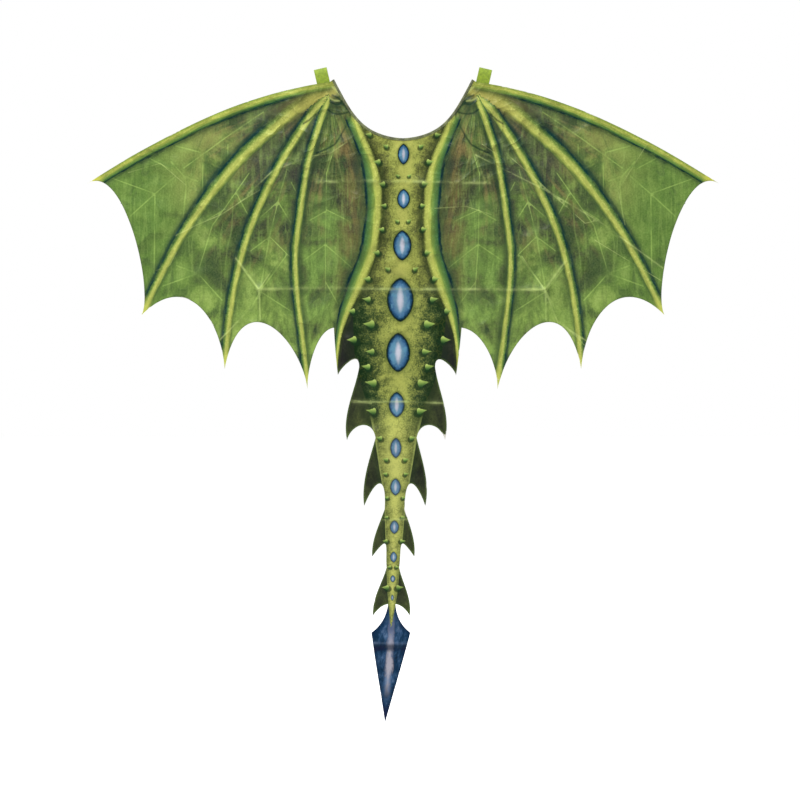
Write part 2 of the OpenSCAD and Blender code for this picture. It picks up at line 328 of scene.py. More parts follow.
# ---------------------------------------------------------------- the cloth's mesh
def inside(p, loop):
    """Which points lie inside a closed loop."""
    a, b = loop, np.roll(loop, -1, axis=0)
    out = np.zeros(len(p), bool)
    for k in range(0, len(p), BATCH // 5):
        q = p[k : k + BATCH // 5, None]
        crosses = (a[:, 1] > q[..., 1]) != (b[:, 1] > q[..., 1])
        with np.errstate(divide="ignore", invalid="ignore"):
            x = a[:, 0] + (q[..., 1] - a[:, 1]) * (b[:, 0] - a[:, 0]) / (b[:, 1] - a[:, 1])
        out[k : k + BATCH // 5] = ((q[..., 0] < x) & crosses).sum(1) % 2 == 1
    return out


def sampled(line, step):
    """Points along a line of straight stretches, no further apart than step."""
    out = []
    for a, b in zip(line[:-1], line[1:]):
        n = max(1, math.ceil(np.linalg.norm(b - a) / step))
        out += [a + (b - a) * i / n for i in range(n)]
    return np.array(out + [line[-1]])


def point_tree(points):
    """The points in the form that finds the nearest of them quickly."""
    tree = kdtree.KDTree(len(points))
    for i, (x, z) in enumerate(points):
        tree.insert((x, z, 0), i)
    tree.balance()
    return tree


def doubled_areas(points, triangles):
    """Twice each triangle's area, negative where its corners run clockwise."""
    a, b, c = (points[triangles[:, i]] for i in range(3))
    return (b[:, 0] - a[:, 0]) * (c[:, 1] - a[:, 1]) - (b[:, 1] - a[:, 1]) * (c[:, 0] - a[:, 0])


def kept_lines():
    """Lines that the mesh has edges along: where pieces meet, the creases, the print's fine lines, and the
    strokes of painted wrinkle shade and highlight.
    """
    bottom, top = OUTLINE[:, 1].min() - SPARE, OUTLINE[:, 1].max() + SPARE
    cuts = [np.array([(s * x, bottom / 2), (s * x, top)]) for x in WING_CUTS for s in (-1, 1)]
    left, right = NOTCH_LEFT[0], NOTCH_RIGHT[0]
    cuts += [np.array([NOTCH_LEFT, (left, TAIL_CUTS[0]), (right, TAIL_CUTS[0]), NOTCH_RIGHT])]
    cuts += [np.array([(left - 0.002, z), (right + 0.002, z)]) for z in TAIL_CUTS[1:]]
    cuts += [line for _, line in CREASE_LINES]
    drawn = [np.array(line) * MM for line in VEINS + DARK_PRINT_AND_SHADE_STROKES + LIGHT_PRINT_AND_HIGHLIGHT_STROKES]
    return cuts + [placed(line, side) for line in drawn for side in (1, -1)]


def filling(fixed):
    """A triangular grid of points inside the outline, none of them close to a fixed point."""
    (left, bottom), (right, top) = OUTLINE.min(0), OUTLINE.max(0)
    rows = np.arange(bottom, top, GRID * math.sqrt(3) / 2)
    columns = np.arange(left, right, GRID)
    grid = np.array([(x + (GRID / 2 if r % 2 else 0), z) for r, z in enumerate(rows) for x in columns])
    tree = point_tree(fixed)
    return [g for g in grid[inside(grid, OUTLINE)] if tree.find((g[0], g[1], 0))[2] > GRID_GAP * GRID]


def cloth_triangles():
    """The whole cloth, flat: points and triangles, with edges along its outline and the kept lines."""
    loop = sampled(np.vstack([OUTLINE, OUTLINE[:1]]), GRID)[:-1]
    points, edges = [loop], [(i, (i + 1) % len(loop)) for i in range(len(loop))]
    count = len(loop)
    for line in kept_lines():
        line = sampled(line, GRID)
        points.append(line)
        edges += [(count + i, count + i + 1) for i in range(len(line) - 1)]
        count += len(line)
    fixed = np.vstack(points)
    everything = [Vector(p) for p in [*fixed, *filling(fixed)]]
    points, _, faces, *_ = delaunay_2d_cdt(everything, edges, [], 1, 1e-7)
    points = np.array([tuple(p) for p in points])
    triangles = np.array([f for f in faces if len(f) == 3])
    turned = doubled_areas(points, triangles) < 0
    triangles[turned] = triangles[turned][:, ::-1]
    return points, triangles[inside(points[triangles].mean(1), OUTLINE)]


def nearest_mark(middle, corners, marks):
    """For each triangle its nearest mark, and its corners in that mark's own frame.
    marks holds, for each: centre x and z, half sizes, side, and how far its tip is turned up."""
    best = np.full(len(middle), np.inf)
    out = np.zeros((len(middle), 3, 3))
    for cx, cz, w, h, side, up in marks:
        c, s = math.cos(up), math.sin(up)

        def local(p):
            dx, dz = side * (p[..., 0] - cx), p[..., 1] - cz
            return (dx * c + dz * s) / w, (dz * c - dx * s) / h
        u, v = local(middle)
        r = u * u + v * v
        nearer = r < best
        best = np.where(nearer, r, best)
        out[nearer, :, 0], out[nearer, :, 1] = local(corners[nearer])
    return out


def nearest_line(p, lines):
    """Distance to the nearest of several lines, given in millimetres."""
    out = np.full(len(p), 1.0)
    for line in lines:
        out = np.minimum(out, np.abs(to_line(p, np.array(line) * MM)[0]))
    return out


def nearest_bone(p, triangles):
    """For each triangle the bone nearest to it, and how its corners lie on that bone: how far across, in half
    widths, the share of its length, and its half width there."""
    on_bone = []
    for line, wide, narrow in BONES:
        far, share = to_line(p, spline(line))
        width = (wide + (narrow - wide) * share) * MM
        on_bone.append(np.column_stack([-far / width, share, width]))
    on_bone = np.array(on_bone)
    pick = np.abs(on_bone[:, triangles, 0].mean(2)).argmin(0)
    return on_bone[pick[:, None], triangles]


def along_body(z, column):
    """The body's half width, column 1, or its sideways shift, column 2, at each height."""
    return np.interp(z, BODY[::-1, 0], BODY[::-1, column])


def gem_marks():
    """The gems, as nearest_mark takes them."""
    return [(along_body(z * MM, 2), z * MM, w * MM / 2, l * MM / 2, 1, 0) for z, w, l in GEMS]


def thorn_marks():
    """The thorns, one on each side of the body, as nearest_mark takes them."""
    return [(along_body(z * MM, 2) + side * off * MM, z * MM, l * MM * 0.92, l * MM * 0.38, side, up)
            for off, z, l, up in THORNS for side in (-1, 1)]


def print_fields(points, triangles):
    """What the print's material reads: distances to its lines and places in its marks."""
    x, z = points[:, 0], points[:, 1]
    px, zero = x - lean(x, z), np.zeros(len(x))
    p = np.column_stack([np.abs(px), z])
    rim = point_tree(sampled(np.vstack([OUTLINE, OUTLINE[:1]]), RIM_STEP))
    edge = np.array([rim.find((a, b, 0))[2] for a, b in points])
    root = to_line(p, spline(ROOT_BAND))[0]
    front = np.abs(to_line(p, np.vstack([LEADING_EDGE, np.array([WING_TIP]) * MM]))[0])
    body = np.abs(x - along_body(z, 2)) / along_body(z, 1)
    vein, dark, light = (nearest_line(p, lines) for lines in (VEINS, DARK_PRINT_AND_SHADE_STROKES, LIGHT_PRINT_AND_HIGHLIGHT_STROKES))
    crease = np.full(len(p), 1.0)
    for sharp, line in CREASE_LINES:
        crease = np.minimum(crease, np.abs(to_line(points, line)[0]) / sharp ** 3)
    corners, middle = points[triangles], points[triangles].mean(1)
    at_points = {"place": (px, zero, z), "spot": (x, zero, z), "zone": (body, root, edge),
                 "line": (vein, crease, front), "stroke": (dark, light, zero)}
    at_corners = {"bone": nearest_bone(p, triangles), "gem": nearest_mark(middle, corners, gem_marks()),
                  "thorn": nearest_mark(middle, corners, thorn_marks())}
    return {name: np.column_stack(values) for name, values in at_points.items()}, at_corners


def open_edges(tri):
    """The edges that only one triangle has, and which triangle that is."""
    sides = np.vstack([tri[:, [0, 1]], tri[:, [1, 2]], tri[:, [2, 0]]])
    owner = np.tile(np.arange(len(tri)), 3)
    _, first, count = np.unique(np.sort(sides, axis=1), axis=0, return_index=True, return_counts=True)
    first = first[count == 1]
    return sides[first], owner[first]


def shell_corners(front, wall):
    """Values at the corners of a shell's faces: the front's, the same on the back, and four for each wall."""
    return np.vstack([front.reshape(-1, 3), front[:, ::-1].reshape(-1, 3), np.repeat(wall, 4, axis=0)])


def store(mesh, name, domain, values):
    """Stores three numbers at each point or corner."""
    field = mesh.attributes.new(name, "FLOAT_VECTOR", domain)
    field.data.foreach_set("vector", np.asarray(values, np.float32).ravel())


def cloth_piece(name, keep, cloth, materials):
    """One closed piece of the cloth, from the triangles in keep: printed front, plain back and cut edge.
    Gives the object, the area of its flat front, and the front's flat points."""
    points, triangles, rise, normals, (at_points, at_corners) = cloth
    used, tri = np.unique(triangles[keep], return_inverse=True)
    tri = tri.reshape(-1, 3)
    n = len(used)
    p, y, normal = points[used], rise[used], normals[used]
    flat = np.column_stack([p[:, 0], y, p[:, 1]])
    verts = np.vstack([flat + normal * CLOTH / 2, flat - normal * CLOTH / 2])
    rim, owner = open_edges(tri)
    faces = [tuple(t) for t in tri] + [(c + n, b + n, a + n) for a, b, c in tri]
    faces += [(b, a, a + n, b + n) for a, b in rim]
    mesh = bpy.data.meshes.new(name)
    mesh.from_pydata(verts.tolist(), [], faces)
    for m in materials:
        mesh.materials.append(m)
    # The walls along the outline show the white back; the walls where pieces meet show the print.
    outer = at_points["zone"][used][rim, 2].max(1) < RIM_NEAR
    index = np.concatenate([np.zeros(len(tri)), np.ones(len(tri)), np.where(outer, 1, 0)]).astype(np.int32)
    mesh.polygons.foreach_set("material_index", index)
    mesh.polygons.foreach_set("use_smooth", np.ones(len(faces), bool))
    for field, values in at_points.items():
        store(mesh, field, "POINT", np.vstack([values[used], values[used]]))
    for field, values in at_corners.items():
        store(mesh, field, "CORNER", shell_corners(values[keep], values[keep][owner].mean(1)))
    mesh.update()
    out = p[rim[:, 1]] - p[rim[:, 0]]
    out = np.column_stack([out[:, 1], np.zeros(len(out)), -out[:, 0]])
    out /= np.maximum(np.linalg.norm(out, axis=1, keepdims=True), 1e-9)
    corner_normals = shell_corners(normal[tri], out)
    corner_normals[tri.size : 2 * tri.size] *= -1
    mesh.normals_split_custom_set(corner_normals.tolist())
    return added(name, mesh), float(np.abs(doubled_areas(p, tri)).sum() / 2), p


def vertex_normals(points, rise, triangles):
    """The front's normals, which point towards -Y."""
    v = np.column_stack([points[:, 0], rise, points[:, 1]])
    a, b, c = (v[triangles[:, i]] for i in range(3))
    face = np.cross(b - a, c - a)
    out = np.zeros_like(v)
    for i in range(3):
        np.add.at(out, triangles[:, i], face)
    return out / np.maximum(np.linalg.norm(out, axis=1, keepdims=True), 1e-12)


# ---------------------------------------------------------------- node helpers
class Value:
    """What a node gives. Numbers among them take part in sums as plain numbers do."""

    def __init__(self, tree, socket):
        self.tree = tree
        self.socket = socket

    def __add__(self, other):
        return self.tree.math("ADD", self, other)

    def __sub__(self, other):
        return self.tree.math("SUBTRACT", self, other)

    def __rsub__(self, other):
        return self.tree.math("SUBTRACT", other, self)

    def __mul__(self, other):
        return self.tree.math("MULTIPLY", self, other)

    def __truediv__(self, other):
        return self.tree.math("DIVIDE", self, other)

    def __pow__(self, other):
        return self.tree.math("POWER", self, other)

    def __abs__(self):
        return self.tree.math("ABSOLUTE", self)

    def rises(self, low, high):
        """0 below low, 1 above high, and smooth between them."""
        return self.tree.step(self, low, high, 0.0, 1.0)

    def falls(self, low, high):
        """1 below low, 0 above high, and smooth between them."""
        return self.tree.step(self, low, high, 1.0, 0.0)

    def swing(self, amount):
        """A noise value swung about zero by plus or minus half of amount."""
        return (self - 0.5) * amount


class Tree:
    """Short calls for building a material's nodes."""

    def __init__(self, tree):
        self.tree = tree

    def put(self, socket, value):
        """Links a node's value to a socket, or sets the socket to a plain number or colour."""
        if isinstance(value, Value):
            self.tree.links.new(value.socket, socket)
        else:
            socket.default_value = value

    def add(self, kind, inputs, **settings):
        """A new node, with its settings and then its inputs; an input of None is left alone."""
        node = self.tree.nodes.new(kind)
        for key, value in settings.items():
            setattr(node, key, value)
        for key, value in inputs.items():
            if value is not None:
                self.put(node.inputs[key], value)
        return node

    def node(self, kind, inputs, output=0, **settings):
        """One output of a new node."""
        return Value(self, self.add(kind, inputs, **settings).outputs[output])

    def field(self, name):
        """A stored field: the whole of it, then its three numbers."""
        whole = self.node("ShaderNodeAttribute", {}, "Vector", attribute_name=name)
        split = self.add("ShaderNodeSeparateXYZ", {0: whole})
        return [whole] + [Value(self, number) for number in split.outputs]

    def math(self, operation, *values, clamp=False):
        """One step of arithmetic on numbers, such as ADD or SINE."""
        inputs = dict(enumerate(values))
        return self.node("ShaderNodeMath", inputs, operation=operation, use_clamp=clamp)

    def step(self, value, low, high, start, end):
        """Goes smoothly from start to end while value goes from low to high."""
        return self.node("ShaderNodeMapRange", {0: value, 1: low, 2: high, 3: start, 4: end},
                         interpolation_type="SMOOTHSTEP")

    def away(self, x, z, at_x, at_z):
        """Distance from a point of the cloth."""
        dx, dz = x - at_x, z - at_z
        return self.math("SQRT", dx * dx + dz * dz)

    def wave(self, value, length):
        """A sine wave along value, as long as length."""
        return self.math("SINE", value * (2 * math.pi / length))

    def mix(self, amount, a, b, blend="MIX"):
        """Colour a with that amount of colour b blended in."""
        return self.node("ShaderNodeMix", {0: amount, 6: a, 7: b}, 2, data_type="RGBA", blend_type=blend)

    def layers(self, colour, *layers):
        """A colour with others laid over it in turn; each says how much of it shows, and its colour."""
        for amount, *over in layers:
            colour = self.mix(amount, colour, rgb(*over))
        return colour

    def ramp(self, value, stops, smooth="LINEAR"):
        """A colour or number that changes with value; each stop is a place from 0 to 1 and what is there."""
        out = self.node("ShaderNodeValToRGB", {0: value})
        ramp = out.socket.node.color_ramp
        ramp.interpolation = smooth
        while len(ramp.elements) < len(stops):
            ramp.elements.new(0.5)
        for element, (place, *there) in zip(ramp.elements, stops):
            element.position = place
            element.color = rgb(*there) if len(there) == 3 else there * 3 + [1]
        return out

    def noise(self, vector, scale, detail=3.0, rough=0.55, distortion=0.0, offset=None, **settings):
        """The value of a noise texture."""
        inputs = {"Vector": vector, "Scale": scale, "Detail": detail, "Roughness": rough,
                  "Distortion": distortion, "Offset": offset}
        return self.node("ShaderNodeTexNoise", inputs, **settings)

    def ridged(self, vector, scale, detail=2.0, distortion=0.6):
        """Noise with sharp tops."""
        return self.noise(vector, scale, detail, 0.45, distortion, 1.0, noise_type="RIDGED_MULTIFRACTAL")

    def bump(self, height_in, distance, strength=1.0, normal=None):
        """A normal, tilted as if the surface rose with height_in by up to distance."""
        inputs = {"Height": height_in, "Distance": distance, "Strength": strength, "Normal": normal}
        return self.node("ShaderNodeBump", inputs)

    def vector(self, x, y, z):
        """Three numbers as one vector."""
        return self.node("ShaderNodeCombineXYZ", {0: x, 1: y, 2: z})

    def stretched(self, vector, x, y, z):
        """A vector with each of its numbers multiplied."""
        return self.node("ShaderNodeVectorMath", {0: vector, 1: (x, y, z)}, operation="MULTIPLY")


# ---------------------------------------------------------------- the print
# In each function, ax is the distance from the middle line and z the height, both in metres.
def membrane(t, mirrored, ax, z, edge):
    """The green skin between the bones."""
    dx, dz = ax - 0.14, z + 0.02
    far = t.math("SQRT", dx * dx + dz * dz)
    angle = t.math("ARCTAN2", dz, dx)
    rays = t.noise(t.vector(angle * 9.0, far * 5.0, 0.0), 1.6, 5.0, 0.6, 0.6)
    cloud = t.noise(mirrored, 9.0, 6.0, 0.62, 1.1)
    patch = t.noise(t.stretched(mirrored, 1.0, 1.0, 0.7), 15.0, 4.0, 0.55, 1.3)
    fleck = t.noise(mirrored, 70.0, 4.0, 0.65, 0.5)
    smear = t.noise(mirrored, 34.0, 3.0)
    strokes = t.noise(t.stretched(mirrored, 85.0, 1.0, 9.0), 1.0, 4.0, 0.65, 1.2)
    grain = t.noise(mirrored, 300.0, 3.0, 0.7)
    reach = far * 1.25 + cloud.swing(2.1) + (patch.swing(1.9) + fleck.swing(0.75))
    skin = t.ramp(reach, [(0.0, 40, 46, 42), (0.12, 56, 62, 46), (0.26, 68, 80, 49), (0.42, 76, 96, 51),
                          (0.60, 91, 115, 57), (0.80, 114, 138, 68), (1.0, 132, 154, 80)])
    skin = t.layers(
        skin,
        # Brown rays, warm patches by the shoulder, brown along the root and clear green beside it.
        (rays.rises(0.50, 0.66) * far.falls(0.16, 0.46) * 0.62, 122, 108, 68),
        (t.away(ax, z, 0.100, -0.104).falls(0.018, 0.062) * smear.rises(0.36, 0.62) * 0.72, 138, 118, 72),
        (ax.falls(0.100, 0.135) * patch.rises(0.36, 0.56) * 0.68, 94, 82, 53),
        (abs(ax - 0.155).falls(0.016, 0.045) * z.falls(-0.24, -0.20) * cloud.rises(0.36, 0.60) * 0.45,
         108, 142, 68),
        # Gloom round the shoulder, and a light hem.
        (cloud.falls(0.38, 0.50) * far.falls(0.10, 0.36) * 0.75, 46, 50, 50),
        (far.falls(0.05, 0.24) * rays.falls(0.36, 0.56) * 0.8, 36, 42, 40),
        (edge.falls(0.0, 0.060) * patch.rises(0.35, 0.62) * 0.45, 134, 164, 76),
        # Grey purple and olive under the leading edge, and a darker green towards the tip.
        (angle.rises(-1.45, -1.15) * (far + cloud.swing(0.2)).falls(0.08, 0.25) * 0.50, 72, 64, 64),
        (angle.rises(-0.85, -0.60) * abs(far - 0.28).falls(0.04, 0.13) * patch.rises(0.36, 0.56) * 0.55,
         146, 148, 82),
        (ax.rises(0.34, 0.47) * 0.72, 78, 109, 50),
        # Deep patches and upright strokes.
        (patch.falls(0.37, 0.45) * 0.52, 62, 82, 48),
        (strokes.rises(0.52, 0.64) * 0.26, 130, 156, 80),
        (strokes.falls(0.34, 0.46) * 0.28, 56, 76, 44))
    low, high = t.layers(skin, (0.16, 34, 50, 30)), t.layers(skin, (0.06, 190, 205, 130))
    return t.mix(grain.rises(0.3, 0.7), low, high)


def veins(t, colour, mirrored, vein):
    """Thin pale lines, like the veins of a leaf."""
    wander = vein + t.noise(mirrored, 45.0, 2.0).swing(0.0012)
    strength = t.noise(mirrored, 24.0, 3.0).rises(0.28, 0.62) * 0.50
    return t.layers(colour,
                    (vein.falls(0.001, 0.012) * 0.16, 122, 154, 74),
                    (abs(vein - 0.0032).falls(0.0, 0.0018) * 0.10, 40, 60, 36),
                    (wander.falls(0.0001, 0.0014) * strength, 150, 178, 92))


def streaks(t, vector, mirrored, amount, fine):
    """Noise that runs along a band, a finer one, and how far the two push the band's edges."""
    along = t.noise(vector, 1.0, 4.0, 0.65)
    ragged = t.noise(mirrored, 170.0, 4.0, 0.7, 1.5)
    return along, ragged, along.swing(amount) + ragged.swing(fine)


def streaked(t, band_colour, along, ragged, amount, *dark):
    """A band's colour with dark streaks along it and light flecks."""
    band_colour = t.mix(along.rises(0.46, 0.62) * amount, band_colour, t.mix(0.6, band_colour, rgb(*dark)))
    return t.mix(ragged.rises(0.50, 0.66) * 0.45, band_colour, t.mix(1.0, band_colour, band_colour, "SCREEN"))


def bones(t, colour, mirrored, ax):
    """Finger bones: dark on the outer side, green, and a bright ridge."""
    _, across, share, width = t.field("bone")
    along, ragged, ripple = streaks(t, t.vector(across * 1.3, share * 16.0, width), mirrored, 0.9, 0.40)
    place = (across + ripple + 3.0) / 6.0       # 0 to 1 from 3 half widths on one side to 3 on the other
    ridge = t.ramp(place, [
        (0.06, 46, 62, 48), (0.22, 28, 46, 44), (0.31, 28, 50, 48), (0.36, 62, 88, 50), (0.42, 98, 122, 58),
        (0.48, 148, 160, 78), (0.58, 156, 165, 80), (0.64, 120, 134, 64), (0.68, 84, 102, 52),
        (0.72, 54, 72, 46), (0.8, 54, 70, 46)])
    cover = t.ramp(place, [(0.0, 0.0), (0.12, 0.30), (0.22, 0.80), (0.30, 1.0), (0.65, 1.0), (0.70, 0.72),
                           (0.76, 0.30), (0.88, 0.0)], "EASE")
    ridge = t.layers(ridge, (share.falls(0.02, 0.30) * width.rises(0.0072, 0.009) * 0.62, 128, 116, 62))
    ridge = streaked(t, ridge, along, ragged, 0.42, 84, 96, 48)
    ridge = t.layers(ridge, (share.rises(0.92, 0.99) * 0.6, 178, 186, 84))
    inner = across.rises(0.9, 1.5) * across.falls(1.7, 3.4) * ax.falls(0.204, 0.216)
    return t.mix(cover, t.layers(colour, (inner * 0.55, 44, 58, 42)), ridge)


def leading_edge(t, colour, mirrored, front, ax):
    """The thick bone along the top edge of the wing, with a bright claw at its end."""
    share = t.math("DIVIDE", ax - 0.139, 0.46, clamp=True)
    width = t.math("SINE", share * math.pi) * 0.0030 + 0.0150
    along, ragged, ripple = streaks(t, t.vector(ax * 22.0, front * 190.0, 0.0), mirrored, 0.24, 0.10)
    place = front / width * 0.5 + ripple
    fibres = t.noise(t.vector(ax * 60.0, front * 520.0, 0.0), 1.0, 3.0, 0.6)
    edge = t.ramp(place, [
        (0.0, 112, 130, 60), (0.07, 134, 149, 66), (0.15, 156, 163, 76), (0.25, 138, 151, 68),
        (0.32, 96, 122, 58), (0.385, 62, 92, 50), (0.43, 34, 56, 46), (0.48, 22, 38, 42), (0.55, 36, 46, 42),
        (0.8, 50, 60, 44)])
    cover = t.ramp(place, [(0.0, 1.0), (0.50, 1.0), (0.57, 0.66), (0.70, 0.26), (0.92, 0.0)], "EASE")
    edge = t.layers(edge, (ax.falls(0.16, 0.23) * 0.5, 112, 116, 54),
                    (share.rises(0.925, 0.965) * 0.75, 186, 188, 74))
    edge = t.mix(fibres.rises(0.46, 0.62) * 0.50, edge, t.mix(0.7, edge, rgb(70, 98, 40)))
    edge = streaked(t, edge, along, ragged, 0.40, 82, 100, 48)
    return t.mix(cover * ax.rises(0.122, 0.141), colour, edge)


def shoulder(t, colour, mirrored, ax, z):
    """Curved dark and light strokes where the bones meet: print lines, and painted shade and painted
    highlights of the cloth's wrinkles.
    """
    _, dark, light, _ = t.field("stroke")
    wander = t.noise(mirrored, 90.0, 3.0, 0.6).swing(0.0030)
    strength = z.rises(-0.13, -0.10) * 0.40 + 0.16
    return t.layers(colour,
                    ((t.away(ax, z, 0.117, -0.046) + wander).falls(0.008, 0.030) * 0.55, 52, 66, 46),
                    # Light strokes: print lines and painted highlights of wrinkles.
                    ((light + wander).falls(0.0, 0.0030) * strength, 148, 160, 92),
                    # Dark strokes: print lines and painted shade of wrinkles.
                    ((dark + wander).falls(0.0002, 0.0032) * 0.72, 30, 44, 38))


def hide(t, colour, place, body, z):
    """The scaly skin of the back and tail: bright along the middle and dark at its sides."""
    mottle = t.noise(place, 55.0, 6.0, 0.72, 0.3)
    blotch = t.noise(place, 19.0, 3.0, 0.6, 0.6)
    speck = t.noise(place, 330.0, 3.0, 0.7)
    across = body + (mottle.swing(1.5) + blotch.swing(0.7) + speck.swing(1.3))
    back = t.ramp(across, [(0.0, 172, 178, 90), (0.25, 156, 165, 82), (0.48, 130, 139, 70),
                           (0.66, 106, 112, 62), (0.82, 84, 90, 54), (1.0, 64, 70, 46)])
    deep = t.ramp(across, [(0.0, 164, 172, 86), (0.28, 140, 150, 76), (0.48, 106, 116, 62),
                           (0.66, 66, 80, 50), (0.85, 46, 60, 40), (1.0, 38, 50, 36)])
    slim = t.ramp(across, [(0.0, 170, 176, 92), (0.4, 146, 154, 80), (0.75, 118, 126, 66), (1.0, 88, 96, 54)])
    skin = t.mix(z.falls(-0.70, -0.60), t.mix(z.falls(-0.43, -0.36), back, deep), slim)
    cracks = t.node("ShaderNodeTexVoronoi", {"Vector": place, "Scale": 95.0}, "Distance",
                    feature="DISTANCE_TO_EDGE")
    dots = t.noise(place, 520.0, 2.0, 0.6)
    skin = t.layers(skin,
                    (cracks.falls(0.01, 0.09) * blotch.rises(0.46, 0.60) * 0.45, 80, 86, 46),
                    (dots.rises(0.60, 0.72) * 0.45, 58, 68, 40),
                    (body.rises(0.90, 0.97) * z.falls(-0.66, -0.62) * 0.40, 152, 166, 90),
                    # Painted shade: the whole skin a little darker, more so towards the top of the back.
                    (z.rises(-0.66, -0.54) * 0.19 + 0.06, 0, 0, 0))
    return t.mix(body.falls(1.0, 1.03), colour, skin)


def fins(t, place, edge, body, z):
    """The dark fins beside the tail, with a thin green edge."""
    cloud = t.noise(t.stretched(place, 1.0, 1.0, 0.5), 34.0, 5.0, 0.68, 0.5)
    specks = t.noise(place, 240.0, 3.0, 0.7)
    mixed = cloud + specks.swing(0.30)
    lower = t.ramp(mixed, [(0.22, 34, 34, 34), (0.42, 46, 48, 38), (0.60, 62, 68, 44), (0.78, 92, 96, 56)])
    upper = t.ramp(mixed, [(0.3, 32, 28, 38), (0.55, 42, 38, 38), (0.8, 60, 58, 50)])
    return t.layers(t.mix(z.rises(-0.56, -0.53), lower, upper),
                    (body.falls(1.0, 1.5) * 0.45, 38, 50, 34),
                    ((edge + specks.swing(0.003)).falls(0.0004, 0.0040) * 0.5, 84, 104, 56))


def spade(t, place, spot_x, z, edge):
    """The blue blade at the end of the tail, with a pale streak down its middle."""
    cloud = t.noise(t.stretched(place, 1.0, 1.0, 0.55), 60.0, 6.0, 0.72, 0.4)
    skin = t.ramp(cloud, [(0.32, 22, 34, 50), (0.46, 34, 52, 74), (0.56, 54, 78, 104), (0.68, 94, 116, 138)])
    middle = (z + 1.045) * 0.0647 - 0.023
    off = abs(spot_x - middle) + cloud.swing(0.024)
    streak = off.falls(0.0005, 0.0085) * z.rises(-1.175, -1.12) * z.falls(-1.040, -0.995)
    return t.layers(skin,
                    (edge.falls(0.0, 0.011) * 0.75, 20, 34, 54),
                    (streak * 0.80, 164, 163, 164),
                    (z.rises(-1.075, -1.035) * streak * 0.7, 52, 78, 116),
                    # Painted shade along the blade's pack crease.
                    (abs(z + 1.072).falls(0.002, 0.011) * 0.78, 16, 26, 48),     # its pack crease
                    (z.rises(-1.052, -1.035) * 0.35, 24, 44, 72),
                    (z.falls(-1.20, -1.16) * 0.8, 24, 34, 62),
                    # Painted shade: the whole blade a little darker.
                    (0.06, 0, 0, 0))


def gems(t, colour, place, z):
    """Pointed blue gems in a dark setting, with a pale streak."""
    _, u, v, _ = t.field("gem")
    wide, tall = abs(u), abs(v)
    fleck = t.noise(place, 170.0, 4.0, 0.65)
    cloud = t.noise(place, 60.0, 3.0, 0.6)
    form = wide ** 1.45 + tall ** 2.0 + fleck.swing(0.10)
    fill = form + fleck.swing(0.35)
    glow = (wide * 3.7) ** 1.5 + (tall * 1.75) ** 1.7 + fleck.swing(0.7)
    blue = t.ramp(fill, [(0.0, 106, 136, 145), (0.3, 84, 118, 132), (0.5, 67, 101, 127), (0.66, 49, 80, 107),
                         (0.78, 34, 59, 80), (0.88, 18, 37, 42), (1.0, 14, 30, 30)])
    blue = t.layers(blue, (cloud.rises(0.46, 0.62) * fill.falls(0.60, 0.75) * 0.6, 86, 132, 146),
                    (glow.falls(0.0, 1.45) * 0.88, 174, 176, 178))
    blue = t.mix(z.falls(-0.70, -0.55) * 0.42, blue, t.mix(0.5, blue, rgb(112, 124, 128)))
    shadow = t.layers(colour, (form.falls(1.0, 1.6) * 0.5, 64, 78, 40))
    return t.mix(form.falls(0.94, 1.10), shadow, blue)


def thorns(t, colour, place):
    """Small cones that point outward, lit from above."""
    _, u, v, _ = t.field("thorn")
    rough = t.noise(place, 260.0, 3.0, 0.65).swing(0.30)
    taper = t.math("SUBTRACT", 1.0, u, clamp=True) ** 1.25
    cone = taper - abs(v) + rough
    ball = u * u * 16.0 + v * v + rough
    form = t.math("MAXIMUM", cone.rises(0.0, 0.22) * u.rises(-0.02, 0.04), ball.falls(0.82, 1.10))
    low, back = v + 0.40, u + 0.10
    under = back * back * 3.0 + low * low * 0.70 + rough
    horn = t.ramp((v + u * 0.35 + 1.0) / 2.0, [(0.05, 34, 54, 34), (0.3, 66, 94, 50), (0.52, 104, 132, 64),
                                               (0.75, 142, 164, 82), (1.0, 160, 180, 96)])
    horn = t.layers(horn, (u.rises(0.45, 0.95) * 0.7, 150, 168, 86))
    return t.mix(form, t.layers(colour, (under.falls(0.55, 1.30) * 0.80, 34, 48, 34)), horn)


def creases(t, colour, place, crease, z):
    """Pale lines where the cloth was folded, part wear and part painted highlight on the fold, with a painted
    shadow beside them.
    """
    wander = abs(crease + t.noise(place, 38.0, 3.0).swing(0.0045))
    broken = t.noise(place, 24.0, 4.0, 0.6).rises(0.36, 0.64)
    # The pale line: wear along the fold and a painted highlight on its ridge.
    worn_and_highlight = wander.falls(0.0, 0.0042) * (broken * 0.24 + 0.03) + wander.falls(0.0, 0.0120) * (broken * 0.07)
    # Painted shadow beside the fold.
    shaded = t.layers(colour, (abs(wander - 0.0060).falls(0.0, 0.0040) * broken * 0.16, 34, 44, 26))
    pale = t.mix(z.falls(-0.993, -0.987), rgb(196, 214, 130), rgb(124, 142, 162))
    return t.mix(worn_and_highlight, shaded, pale)


